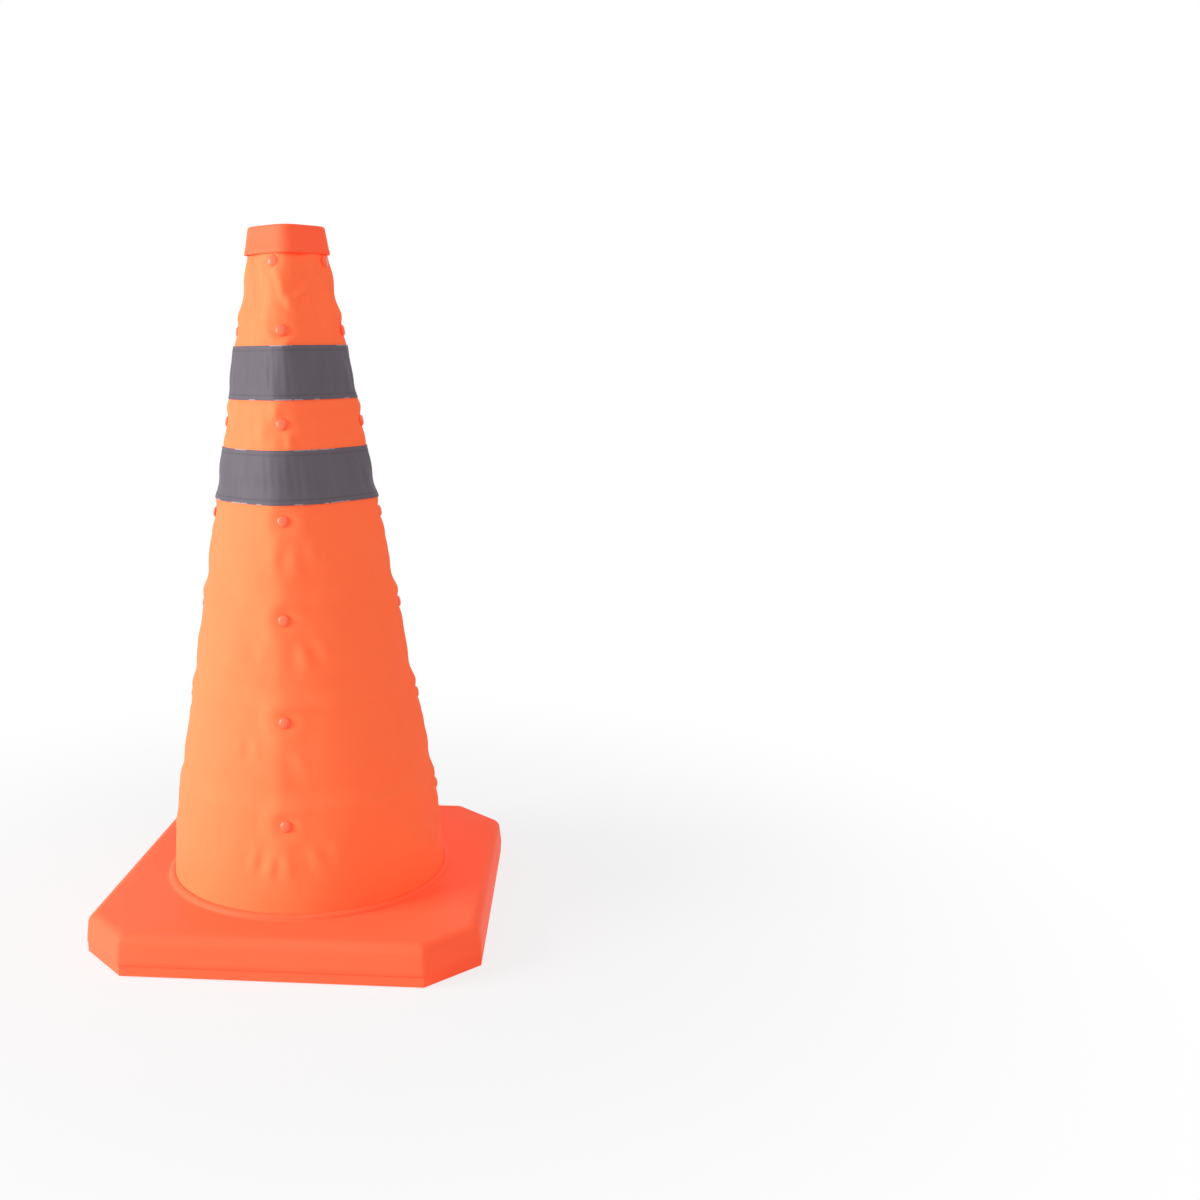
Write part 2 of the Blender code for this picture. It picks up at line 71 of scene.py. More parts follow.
# Fit of the cloth
CLOTH_THICKNESS = 0.45 * MM
CLOTH_LINE = 0.95 * MM
CAP_CLEARANCE = 0.3 * MM
COLLAR_RISE = 4 * MM
SLEEVE_OVERLAP = 8 * MM
SINK_SPARE = 0.05 * MM
SINK_BLEND = 0.1 * MM
TUCK_RISE = 12 * MM

# Relief round a rivet
DIMPLE, DIMPLE_WIDTH = 0.55 * MM, 5.4 * MM
RING, RING_RADIUS, RING_WIDTH = 0.75 * MM, 10.5 * MM, 5.6 * MM
RING_LEAN, RING_BLUNT = 0.5, 2 * MM

# Relief over a sleeve's rim and below its rivets
RIDGE, FIRST_RIDGE, RIDGE_WIDTH, RIDGE_SWAY = 0.8 * MM, 0.5 * MM, 4.2 * MM, 0.4
HOLLOW, LAST_HOLLOW, HOLLOW_ABOVE, HOLLOW_WIDTH = 0.8 * MM, 0.35 * MM, 11 * MM, 7.0 * MM
BELLY, BELLY_BELOW, BELLY_WIDTH = 0.65 * MM, 30 * MM, 15 * MM

# Relief along a rivet column and under the cap
CREST, CREST_WIDTH, CREST_FOOT, CREST_GROWTH = 0.95 * MM, 8.0 * MM, 15 * MM, 60 * MM
CREST_LEAD, CREST_DRIFT, DRIFT_FOOT, DRIFT_RISE = 4 * MM, 7 * MM, 280 * MM, 100 * MM
FLANK, FLANK_ASIDE, FLANK_WIDTH = 0.35 * MM, 22 * MM, 11 * MM
BULGE, BULGE_BELOW, BULGE_WIDTH = 0.7 * MM, 11 * MM, 8 * MM

# Slow waviness: turns round the cone, radians per metre of height, phase, depth (mm), and where it calms down
WAVES = ((5, 96, 0.3, 0.20), (7, -61, 1.9, 0.18), (11, 138, 4.1, 0.13), (17, -83, 2.2, 0.08),
         (23, 205, 0.8, 0.06), (31, -170, 5.2, 0.035), (2, 43, 3.6, 0.25))
WAVE_BEND, WAVE_BEND_TURNS = 0.6, 3
CALM_SHARE, CALM_FOOT, CALM_RISE = 0.35, 8 * MM, 25 * MM

# Creases by rivet: column, row, offset along the girth and up, lean (degrees), length, width, depth (mm)
CREASES = (
    (0, 1, -24, -22, 8, 9, 2.6, 0.9), (0, 1, -13, -24, 12, 11, 2.8, 1.2), (0, 1, -3, -25, -8, 10, 2.8, 1.1),
    (0, 1, 16, -22, -30, 11, 2.8, 0.8), (0, 1, 29, -20, -25, 8, 2.6, 0.5), (0, 2, -22, -18, 0, 7, 2.6, 0.7),
    (0, 2, -34, -17, 8, 6, 2.4, 0.45), (0, 2, 6, -26, -25, 10, 3.2, 0.55), (0, 3, 9, -22, -22, 12, 3.0, 0.9),
    (0, 3, 21, -19, -40, 11, 2.8, 0.75), (0, 3, -18, -20, 12, 9, 3.2, 0.4), (0, 4, 4, -24, -6, 13, 3.4, 0.8),
    (0, 4, 14, -21, -25, 11, 3.0, 0.6), (0, 4, -9, -18, 15, 11, 3.2, 0.6), (0, 5, -17, -5, 2, 9, 2.8, 0.8),
    (0, 5, 10, -9, -62, 7, 2.2, 0.7), (0, 5, -26, -12, 14, 7, 2.6, 0.5), (0, 6, 11.6, 24.7, 52, 9, 1.8, 1.1),
    (0, 6, 14.8, 17.5, -4, 7, 1.7, 0.9), (0, 6, -17, 5.5, 78, 8, 1.7, 0.7), (0, 6, -4.5, 33, -30, 6, 1.7, 0.5),
    (0, 6, -2, 26, 2, 7, 1.9, 0.45), (0, 6, 4, 15, -48, 8, 2.0, 0.65), (0, 6, -13, 15, 18, 8, 2.8, 0.5),
    (0, 6, 3.5, -5, 65, 5, 1.5, 0.7), (0, 6, -8, -4.5, -60, 5, 1.6, 0.6), (0, 5, -6, 9, 12, 8, 2.2, 0.7),
    (0, 5, 3, -11, -18, 7, 2.2, 0.7), (1, 1, -14, -24, 10, 10, 2.8, 1.0), (1, 1, -2, -25, -4, 10, 2.8, 1.1),
    (1, 2, 9, -22, -20, 10, 3.0, 0.7), (1, 3, -9, -21, 16, 11, 3.0, 0.8), (1, 4, 7, -23, -14, 11, 3.2, 0.7),
    (1, 5, -12, -8, 30, 8, 2.6, 0.7), (1, 6, 9, 17, -35, 9, 2.4, 0.8), (2, 1, -12, -24, 10, 10, 2.8, 1.0),
    (2, 1, 4, -25, -8, 10, 2.8, 1.0), (2, 1, 18, -22, -24, 10, 2.8, 0.7), (2, 2, -16, -20, 10, 9, 2.8, 0.7),
    (2, 3, 8, -22, -22, 11, 3.0, 0.8), (2, 4, -8, -21, 14, 11, 3.0, 0.7), (2, 5, 12, -8, -40, 8, 2.6, 0.6),
    (2, 6, 10, 16, -40, 9, 2.4, 0.8), (3, 1, -6, -24, 8, 10, 2.8, 1.1), (3, 1, 9, -25, -10, 10, 2.8, 1.0),
    (3, 2, -14, -21, 12, 9, 2.8, 0.7), (3, 3, 10, -22, -20, 11, 3.0, 0.8), (3, 4, 5, -22, -12, 11, 3.2, 0.7),
    (3, 5, 11, -9, -50, 7, 2.4, 0.6), (3, 6, -9, 17, 36, 9, 2.4, 0.8))
CREASE_GAIN = {1: 0.95, 5: 1.45, 6: 1.5}
CREASE_REACH, CREASE_SPREAD, VALLEY_SHARE = 0.75, 1.3, 0.7

# Bands and their stitches
BAND_LINES = 36
BAND_THICKNESS, BAND_LIFT = 0.35 * MM, 0.62 * MM
BAND_BELLY, BAND_CREASE, BAND_FOLD = 0.22 * MM, 0.17 * MM, 0.2 * MM
BAND_OUTSET = 0.7 * MM
STITCH_MARGIN, STITCH_LENGTH, STITCH_RADIUS = 3.0 * MM, 2.3 * MM, 0.16 * MM
STITCH_LIFT, STITCH_WANDER, WANDER_TURNS = 0.72 * MM, 0.12 * MM, 91
STITCH_POINTS, GIRTH_SHARE = 6, 0.97

# Angle past which an edge is shaded sharp
SHARP_ANGLE, CAP_SHARP_ANGLE = math.radians(50), math.radians(60)

# Mouldings and rivets
BASE_CORNER, BASE_FILLET, BASE_DRAFT, BASE_ROOF = 4 * MM, 7.0 * MM, 1.3 * MM, 2.4 * MM
BEAD_GAP, BEAD_THICK, BEAD_STEP, BEAD_RISE = 0.35 * MM, 3.8 * MM, 0.8 * MM, 2.4 * MM
BEAD_FLARE, BEAD_TOE, BEAD_TOE_RISE, BEAD_TUCK, BEAD_BACK = 1.2 * MM, 0.35 * MM, 0.25 * MM, 0.2 * MM, 3.0 * MM
CAP_WALL, CAP_EDGE, CAP_EASE, CAP_INNER_RISE, CAP_AROUND = 1.4 * MM, 2.0 * MM, 0.3 * MM, 0.4 * MM, 160
RIVET_SHANK, RIVET_DEPTH, RIVET_CROWN, RIVET_RIM = 1.8 * MM, 1.7 * MM, 1.7 * MM, 0.15 * MM
RIVET_NECK, RIVET_UNDER, RIVET_ROUNDING = 0.05 * MM, 0.97, 0.75
RIVET_SEAT, RIVET_AROUND = 0.25 * MM, 28

# Points of the mouldings' profiles: inset and rise from the lower edge, or inset and drop from the top
BASE_FOOT = ((0.15 * MM, 0.0), (0.0, 0.2 * MM), (0.3 * MM, 4 * MM))
BASE_INNER_WALL = ((5.2 * MM, 5.0 * MM), (3.8 * MM, 8.0 * MM))
BASE_INNER_FOOT = 2.5 * MM
CAP_LIP = ((0.3 * MM, 0.0), (0.0, 0.35 * MM), (0.18 * MM, 2.5 * MM), (0.50 * MM, 3.0 * MM))

# Rings of the base's top, as shares of the way from edge to bead, and of the cap's, as shares of its rim
BASE_TOP_RINGS = (0.35, 0.7, 0.92)
CAP_TOP_RINGS = (0.7, 0.35, 0.0)
CAP_ROOF_RING = 0.6

# Painted light: a constant red emission that keeps the shaded sides red, standing in for the dye's
# fluorescence; its colour, and its strength on each finish
PAINTED_RED_GLOW = (1.0, 0.03, 0.0, 1.0)
CLOTH_PAINTED_GLOW, MOULDING_PAINTED_GLOW, RIVET_PAINTED_GLOW, SLEEVE_PAINTED_GLOW = 0.40, 0.38, 0.24, 0.08

# Mouldings in sight and out of sight
MOULDING_ROUGHNESS, SLEEVE_ROUGHNESS = 0.46, 0.5
SLEEVE_COLOUR = (0.95, 0.19, 0.07)

# Studio: name, place, target, size and power of each lamp, then the ambient light, the floor and the camera
LAMPS = (("key_light", (-1.66, -0.76, 0.72), (0.0, 0.0, 0.22), 0.9, 41.0),
         ("fill_light", (0.8, -0.9, 1.7), (0.0, 0.0, 0.2), 0.7, 5.0))
AMBIENT = 0.37
FLOOR_RADII, FLOOR_AROUND, FLOOR_DROP = (0.0, 0.4, 1.2, 4.0), 64, 0.2 * MM
FLOOR_GREY, WHITE = (0.75, 0.75, 0.75, 1), (1, 1, 1, 1)
CAMERA_PLACE = (0.18699, -0.82443, 0.37168)
CAMERA_DEGREES = (-6.334, 12.938, -0.82)
CAMERA_LENS, CAMERA_SENSOR, CAMERA_SHIFT = 38.458, 36.0, (0.13, 0.04)


def metres(name, description, default):
    return FloatProperty(name=name, description=description, default=default, unit="LENGTH")


def degrees(name, description, default):
    return FloatProperty(name=name, description=description, default=math.radians(default), subtype="ANGLE",
                         unit="ROTATION")


def paint(name, description, default):
    return FloatVectorProperty(name=name, description=description, default=default, subtype="COLOR",
                               min=0, max=1)


class ConeSizes(PropertyGroup):
    """Sizes of the cone's visible pieces."""

    height: metres("Height", "Floor to the cap's top", 0.450)
    first_row: metres("First Row", "Height of the lowest rivet row", 0.086)
    first_pitch: metres("First Pitch", "Rise from the first rivet row to the second", 0.064)
    pitch_step: metres("Pitch Step", "How much each rise is shorter than the last", 0.0019)
    top_row: metres("Top Row", "Height of the rivets under the cap", 0.4283)
    row_to_rim: metres("Row To Rim", "Rise from a rivet row to its sleeve's rim", 0.0095)
    row_to_edge: metres("Row To Edge", "Rise from a rivet row to its panel's edge", 0.00615)
    foot_radius: metres("Cloth Foot Radius", "Cloth radius at the collar", 0.0926)
    row_radius: metres("Cloth Row Radius", "Cloth radius at the lowest rivets", 0.0869)
    neck_radius: metres("Cloth Neck Radius", "Cloth radius at the cap's edge", 0.02385)
    column_angle: degrees("Column Angle", "Turn of the rivet columns about the axis", -87)
    top_row_turn: degrees("Top Row Turn", "Extra turn of the rivets under the cap", -11)
    cap_turn: degrees("Cap Turn", "Turn of the cap from the rivet columns", 8)
    cap_height: metres("Cap Height", "Height of the cap's skirt", 0.017)
    cap_foot: metres("Cap Foot", "Corner radius of the cap's lower edge", 0.0268)
    cap_top: metres("Cap Top", "Corner radius of the cap's upper edge", 0.0242)
    rivet_head: metres("Rivet Head", "Radius of a rivet's head", 0.0037)
    band_height: metres("Band Height", "Height of a reflective band", 0.033)
    upper_band: metres("Upper Band", "Height of the upper band's top edge", 0.378)
    lower_band: metres("Lower Band", "Height of the lower band's top edge", 0.315)
    base_width: metres("Base Width", "Width of the base across its flats", 0.254)
    base_chamfer: metres("Base Chamfer", "Length cut off each corner of the base", 0.032)
    base_top: metres("Base Top", "Height of the base's flat top", 0.027)
    base_split: metres("Parting Line", "Height of the line between the base's two mouldings", 0.0078)
    sleeve_wall: metres("Sleeve Step", "How much narrower each sleeve's foot is than the rim it slides in",
                        0.0020)
    cloth_gap: metres("Cloth Gap", "Gap from the cloth to the sleeve's rim", 0.0003)
    stitch_pitch: metres("Stitch Pitch", "Distance between stitches", 0.0034)
    around: IntProperty(name="Points Around", description="Grid points round the cloth", default=320, min=64)


class ConeColours(PropertyGroup):
    """Colours of the finishes."""

    cloth: paint("Cloth", "Colour of the coated cloth", (1.0, 0.238, 0.09))
    moulding: paint("Moulding", "Colour of the base and the cap", (1.0, 0.173, 0.078))
    rivet: paint("Rivet", "Colour of the rivets", (1.0, 0.19, 0.085))
    band: paint("Band", "Colour of the reflective bands", (0.096, 0.087, 0.104))
    thread: paint("Thread", "Colour of the stitching", (0.12, 0.105, 0.12))


def sizes():
    return bpy.context.scene.cone_sizes


def colours():
    return bpy.context.scene.cone_colours


def neck_height():
    return sizes().height - sizes().cap_height


def row_height(row):
    """First row plus the shrinking rises above it; the last row sits right under the cap."""
    s = sizes()
    if row == SLEEVES:
        return s.top_row
    return s.first_row + sum(s.first_pitch - below * s.pitch_step for below in range(row - 1))


def rim_height(row):
    return row_height(row) + sizes().row_to_rim


def panel_edge(row):
    """Height where one cloth panel ends and the next begins: 0 is the edge tucked into the collar."""
    s = sizes()
    if row == 0:
        return s.base_top
    return min(row_height(row) + s.row_to_edge, neck_height() - CAP_CLEARANCE)


def cone_radius(z):
    """Corner radius of the cloth: a line from the neck to the first row, and a steeper one to the foot."""
    s = sizes()
    neck = neck_height()
    collar = s.base_top + COLLAR_RISE
    upper = s.neck_radius + (s.row_radius - s.neck_radius) * (neck - z) / (neck - s.first_row)
    lower = s.row_radius + (s.foot_radius - s.row_radius) * (s.first_row - z) / (s.first_row - collar)
    return np.where(z >= s.first_row, upper, lower)


def squareness(z):
    """Power of the section's superellipse: 2, a circle, at the base, growing with height squared to 3.4."""
    low = sizes().base_top
    share = np.clip((z - low) / (neck_height() - low), 0, 1)
    return ROUND_POWER + SQUARING * share * share


def section(angle, power):
    """Superellipse radius at an angle from its corner, over the corner's: (|cos|^p + |sin|^p)^(-1/p), turned
    by 45 degrees."""
    turn = angle - math.pi / 4
    radius = (np.abs(np.cos(turn)) ** power + np.abs(np.sin(turn)) ** power) ** (-1 / power)
    return radius * (2 * 0.5 ** (power / 2)) ** (1 / power)


def wrapped(angle):
    """Angle brought into -pi to pi."""
    return (angle + math.pi) % (2 * math.pi) - math.pi


def bell(distance, width):
    return np.exp(-((distance / width) ** 2))


def rivet_angle(row, column):
    s = sizes()
    turn = s.top_row_turn if row == SLEEVES else 0.0
    return s.column_angle + turn + column * 2 * math.pi / COLUMNS


def sink_limit(z):
    """How far the cloth may sink before it lies on a sleeve: the gap at the rim, growing straight to the
    sleeve's foot. Sleeve 1 follows the cloth, so its gap stays the same."""
    s = sizes()
    rims = np.array([rim_height(row) for row in range(1, SLEEVES)] + [s.height])
    number = np.searchsorted(rims, np.asarray(z))
    rim = rims[np.minimum(number, SLEEVES - 1)]
    below = rims[np.maximum(number - 1, 0)] - SLEEVE_OVERLAP
    slack = s.sleeve_wall * (rim - z) / (rim - below)
    return s.cloth_gap + np.where(number == 0, 0.0, slack)


def rivet_relief(angle, z, radius):
    """Round each rivet a dimple, a bell of the distance from it, inside a ring that is higher on one side."""
    total = 0.0
    for row in range(1, SLEEVES + 1):
        for column in range(COLUMNS):
            girth = radius * wrapped(angle - rivet_angle(row, column))
            far = np.hypot(girth, z - row_height(row))
            turned = 1 - RING_LEAN * girth / (far + RING_BLUNT)
            total = total - DIMPLE * bell(far, DIMPLE_WIDTH)
            total = total + RING * turned * bell(far - RING_RADIUS, RING_WIDTH)
    return total


def rim_relief(angle, z):
    """Over each rim a ridge that sways with the angle, a hollow above it, and a belly below the rivets."""
    total = 0.0
    for row in range(1, SLEEVES):
        over = z - rim_height(row)
        ridge = FIRST_RIDGE if row == 1 else RIDGE
        hollow = LAST_HOLLOW if row == SLEEVES - 1 else HOLLOW
        sway = 1 + RIDGE_SWAY * np.sin(3 * angle + 1.7 * row) * np.cos(5 * angle - row)
        total = total + ridge * bell(over, RIDGE_WIDTH) * sway
        total = total - hollow * bell(over - HOLLOW_ABOVE, HOLLOW_WIDTH)
        total = total + BELLY * bell(z - row_height(row) + BELLY_BELOW, BELLY_WIDTH)
    return total


def crest_relief(angle, z, radius):
    """Along each rivet column a crest between two shallow flanks, bells of the distance along the girth. It
    runs before the rivets, and past them near the cap."""
    grown = np.clip((z - sizes().base_top - CREST_FOOT) / CREST_GROWTH, 0, 1)
    lead = CREST_LEAD - CREST_DRIFT * np.clip((z - DRIFT_FOOT) / DRIFT_RISE, 0, 1)
    total = 0.0
    for column in range(COLUMNS):
        girth = np.abs(radius * wrapped(angle - rivet_angle(1, column)) + lead)
        crest = CREST * bell(girth, CREST_WIDTH) - FLANK * bell(girth - FLANK_ASIDE, FLANK_WIDTH)
        total = total + grown * crest
    return total


def crease_relief(angle, z, radius):
    """Each crease is a ridge beside a valley, bells of the distance across it, fading as a bell along it."""
    total = 0.0
    for column, row, aside, up, lean, length, width, depth in CREASES:
        girth = radius * wrapped(angle - rivet_angle(row, column)) - aside * MM
        rise = z - row_height(row) - up * MM
        tilt = math.radians(lean)
        along = rise * math.cos(tilt) + girth * math.sin(tilt)
        across = girth * math.cos(tilt) - rise * math.sin(tilt)
        fade = CREASE_GAIN.get(row, 1.0) * bell(along, CREASE_REACH * length * MM)
        spread = CREASE_SPREAD * width * MM
        ridge = bell(across - spread, spread) - VALLEY_SHARE * bell(across + spread, spread)
        total = total + depth * MM * fade * ridge
    return total


def wave_relief(angle, z):
    """Slow waviness: a few sines of the angle and the height, calmer near the base."""
    calm = CALM_SHARE + (1 - CALM_SHARE) * np.clip((z - sizes().base_top - CALM_FOOT) / CALM_RISE, 0, 1)
    total = 0.0
    for turns, climb, phase, depth in WAVES:
        bend = WAVE_BEND * np.sin(WAVE_BEND_TURNS * angle + phase)
        total = total + calm * depth * MM * np.sin(turns * angle + climb * z + phase + bend)
    return total


def relief(angle, z, radius):
    """How far the cloth stands off its plain cone: the reliefs above and a bulge under the cap, smoothed away
    where the cloth is tucked into the base. A smooth maximum keeps it from sinking into the sleeves."""
    out = rivet_relief(angle, z, radius) + rim_relief(angle, z) + crest_relief(angle, z, radius)
    out = out + BULGE * bell(z - neck_height() + BULGE_BELOW, BULGE_WIDTH)
    out = out + crease_relief(angle, z, radius) + wave_relief(angle, z)
    tuck = np.clip((z - sizes().base_top) / TUCK_RISE, 0, 1)
    out = out * tuck * tuck * (3 - 2 * tuck)
    lowest = SINK_SPARE - sink_limit(z)
    return 0.5 * (out + lowest + np.sqrt((out - lowest) ** 2 + SINK_BLEND ** 2))


def polar(radius, angle, z):
    """Points at a radius, an angle and a height."""
    return np.stack(np.broadcast_arrays(radius * np.cos(angle), radius * np.sin(angle), z), axis=-1)


def cloth_points(angle, z, outset):
    """Cloth at an angle and height: cone radius times the superellipse, plus the relief and an outset."""
    plain = cone_radius(z) * section(angle - sizes().column_angle, squareness(z))
    return polar(plain + relief(angle, z, plain) + outset, angle, z)


def cloth_wall(low, high, lines, outset, thickness):
    """A closed wall of cloth and its map: outer points up, then inner ones down. The rows crowd towards both
    edges as a cosine does, so that the shading runs on from one panel into the next. The columns start at
    the back."""
    angle = math.pi / 2 + np.linspace(0, 2 * math.pi, sizes().around, endpoint=False)[None, :]
    outer_z = low + (high - low) * (0.5 - 0.5 * np.cos(np.linspace(0, math.pi, lines)))[:, None]
    inner_z = np.linspace(high, low, max(lines // 3, 6))[:, None]
    outer = cloth_points(angle, outer_z, outset(angle, outer_z))
    inner = cloth_points(angle, inner_z, outset(angle, inner_z) - thickness)
    z = np.concatenate((outer_z, inner_z))
    girth = (angle - math.pi / 2) * cone_radius((low + high) / 2)
    chart = np.stack(np.broadcast_arrays(girth, z - low), axis=-1)
    return np.concatenate((outer, inner)), chart


def grid_faces(rows, columns, wrap_rows=False):
    """Quads of a grid of points, row by row, its columns closed round. The normals are outward where columns
    run anticlockwise and rows upward."""
    i = np.arange(rows if wrap_rows else rows - 1)[:, None]
    j = np.arange(columns)[None, :]
    up, along = (i + 1) % rows, (j + 1) % columns
    quads = np.stack(np.broadcast_arrays(i * columns + j, i * columns + along, up * columns + along,
                                         up * columns + j), axis=-1)
    return quads.reshape(-1, 4)


def repeated(quads, points, count):
    """Quads of a number of like grids, one after the other."""
    return (quads[None] + (np.arange(count) * points)[:, None, None]).reshape(-1, 4)


def piece(name, points, quads, finish, uv=None, sharp=None):
    """Smooth mesh object of points and quads at the origin, with one finish and an optional map by point."""
    mesh = bpy.data.meshes.new(name)
    points = np.asarray(points, float).reshape(-1, 3)
    mesh.vertices.add(len(points))
    mesh.vertices.foreach_set("co", points.astype(np.float32).ravel())
    mesh.loops.add(quads.size)
    mesh.loops.foreach_set("vertex_index", quads.astype(np.int32).ravel())
    mesh.polygons.add(len(quads))
    mesh.polygons.foreach_set("loop_start", np.arange(0, quads.size, 4, dtype=np.int32))
    mesh.update(calc_edges=True)
    if uv is not None:
        chart = uv.reshape(-1, 2)[quads]
        step = uv[0, 1, 0] - uv[0, 0, 0]
        behind = chart[:, :, 0].max(axis=1, keepdims=True) - chart[:, :, 0] > 2 * step
        chart[:, :, 0] += behind * step * uv.shape[1]
        layer = mesh.uv_layers.new(name="cloth_map")
        layer.data.foreach_set("uv", chart.astype(np.float32).ravel())
    mesh.shade_smooth()
    if sharp:
        mesh.set_sharp_from_angle(angle=sharp)
    mesh.validate()
    mesh.materials.append(finish)
    obj = bpy.data.objects.new(name, mesh)
    bpy.context.scene.collection.objects.link(obj)
    return obj


def close_poles(obj):
    """Merges the rows of a grid that have shrunk to a point."""
    bm = bmesh.new()
    bm.from_mesh(obj.data)
    bmesh.ops.remove_doubles(bm, verts=bm.verts, dist=1e-7)
    bmesh.ops.dissolve_degenerate(bm, edges=bm.edges, dist=1e-8)
    bm.to_mesh(obj.data)
    bm.free()


class Link:
    """A shader socket that takes part in Python arithmetic: each operation adds one Math node to its tree."""

    def __init__(self, graph, socket):
        self.graph = graph
        self.socket = socket

    def maths(self, operation, first, second):
        return self.graph.node("ShaderNodeMath", {"operation": operation}, {0: first, 1: second})

    def __add__(self, other):
        return self.maths("ADD", self, other)

    def __radd__(self, other):
        return self.maths("ADD", other, self)

    def __sub__(self, other):
        return self.maths("SUBTRACT", self, other)

    def __rsub__(self, other):
        return self.maths("SUBTRACT", other, self)

    def __mul__(self, other):
        return self.maths("MULTIPLY", self, other)

    def __rmul__(self, other):
        return self.maths("MULTIPLY", other, self)

    def __lt__(self, other):
        return self.maths("LESS_THAN", self, other)

    def __gt__(self, other):
        return self.maths("GREATER_THAN", self, other)

    def __abs__(self):
        return self.maths("ABSOLUTE", self, 0.0)


class Graph:
    """Nodes of one tree, round a shader whose constants are set on its own sockets."""

    def __init__(self, tree, shader, **constants):
        self.tree = tree
        self.shader = tree.nodes[shader]
        for socket, value in constants.items():
            self.shader.inputs[socket.replace("_", " ")].default_value = value

    def node(self, kind, settings=None, inputs=None, output=0):
        """Adds a node, sets its settings, then its sockets from values or links, and returns one output."""
        made = self.tree.nodes.new(kind)
        for name, value in (settings or {}).items():
            setattr(made, name, value)
        for key, value in (inputs or {}).items():
            if isinstance(value, Link):
                self.tree.links.new(value.socket, made.inputs[key])
            else:
                made.inputs[key].default_value = value
        return Link(self, made.outputs[output])

    def feed(self, socket, link):
        self.tree.links.new(link.socket, self.shader.inputs[socket])

    def shown(self):
        """1 on rays from the camera, mirrors and glass, and 0 on the rest."""
        seen, glossy, through = (self.node("ShaderNodeLightPath", output=f"Is {kind} Ray")
                                 for kind in ("Camera", "Glossy", "Transmission"))
        return seen.maths("MAXIMUM", seen.maths("MAXIMUM", seen, glossy), through)


class Finish(Graph):
    """One material's nodes, round its Principled shader."""

    def __init__(self, name, **constants):
        self.material = bpy.data.materials.new(name)
        self.material.use_nodes = True
        super().__init__(self.material.node_tree, "Principled BSDF", **constants)

    def place(self):
        return self.node("ShaderNodeTexCoord", output="Object")

    def map(self):
        return self.node("ShaderNodeUVMap", {"uv_map": "cloth_map"})

    def noise(self, vector, scale, detail=2.0, roughness=0.5):
        return self.node("ShaderNodeTexNoise", None,
                         {"Vector": vector, "Scale": scale, "Detail": detail, "Roughness": roughness})

    def streaks(self, chart, across, up, detail=2.0, roughness=0.5):
        """Noise with so many cells to the metre across the cloth's map and up it."""
        vector = self.node("ShaderNodeMapping", None, {"Vector": chart, "Scale": (across, up, 1.0)})
        return self.noise(vector, 1.0, detail, roughness)

    def threads(self, chart, direction):
        return self.node("ShaderNodeTexWave", {"wave_type": "BANDS", "bands_direction": direction},
                         {"Vector": chart, "Scale": 420.0, "Distortion": 0.6, "Detail": 1.0})

    def mix(self, factor, first, second):
        inputs = {"Factor": factor, "A": first, "B": second}
        return self.node("ShaderNodeMix", {"data_type": "RGBA"}, inputs, 2)

    def tone(self, factor, colour, darkest, lightest):
        return self.mix(factor, shade(colour, darkest), shade(colour, lightest))

    def bump(self, height, strength, distance):
        inputs = {"Height": height, "Strength": strength, "Distance": distance}
        return self.node("ShaderNodeBump", None, inputs)


def shade(colour, factor):
    return (*(min(channel * factor, 1.0) for channel in colour), 1.0)


def cloth_finish(colour):
    """Coated woven cloth: a slow tone change, a few small smudges, a close weave and a fine grain. The low red
    emission is painted light that keeps the shaded side red; it stands in for the dye's fluorescence."""
    f = Finish("orange_cloth_finish", Roughness=0.72, IOR=1.45, Sheen_Weight=0.06, Sheen_Roughness=0.5,
               Specular_IOR_Level=0.14, Emission_Color=PAINTED_RED_GLOW, Emission_Strength=CLOTH_PAINTED_GLOW)
    place = f.place()
    dyed = f.tone(f.noise(place, scale=22.0, detail=3.0), colour, 0.95, 1.05)
    cell = {"Vector": place, "Scale": 52.0}
    near = f.node("ShaderNodeTexVoronoi", None, cell, "Distance")
    picked = f.node("ShaderNodeTexVoronoi", None, cell, "Color")
    chance = f.node("ShaderNodeSeparateColor", None, {0: picked}, 0)
    smudge = (near < 0.04) * (chance < 0.07)
    f.feed("Base Color", f.mix(0.4 * smudge, dyed, (0.45, 0.10, 0.04, 1.0)))
    weave = f.map()
    grain = f.noise(place, scale=260.0, detail=3.0)
    height = 0.10 * f.threads(weave, "X") + 0.10 * f.threads(weave, "Y") + 0.5 * grain
    f.feed("Normal", f.bump(height, strength=0.16, distance=0.4 * MM))
    return f.material


def moulding_finish(name, colour, roughness, painted_glow):
    """Satin moulding: fine pebbled grain, slight change of tone and of gloss, and a low red emission, painted
    light that keeps its shaded side red.
    """
    f = Finish(name, Roughness=roughness, IOR=1.46, Specular_IOR_Level=0.08, Emission_Color=PAINTED_RED_GLOW,
               Emission_Strength=painted_glow)
    place = f.place()
    f.feed("Base Color", f.tone(f.noise(place, scale=14.0), colour, 0.96, 1.04))
    f.feed("Roughness", roughness - 0.06 + 0.12 * f.noise(place, scale=60.0))
    f.feed("Normal", f.bump(f.noise(place, scale=900.0), strength=0.12, distance=0.3 * MM))
    return f.material


def rivet_finish(colour):
    """Glossy moulding with a faint grain, and a painted red emission that keeps its shaded side red."""
    f = Finish("rivet_finish", Roughness=0.34, IOR=1.48, Specular_IOR_Level=0.4, Coat_Weight=0.12,
               Coat_Roughness=0.2, Emission_Color=PAINTED_RED_GLOW, Emission_Strength=RIVET_PAINTED_GLOW)
    place = f.place()
    f.feed("Base Color", f.tone(f.noise(place, scale=90.0), colour, 0.95, 1.05))
    f.feed("Normal", f.bump(f.noise(place, scale=700.0), strength=0.08, distance=0.2 * MM))
    return f.material


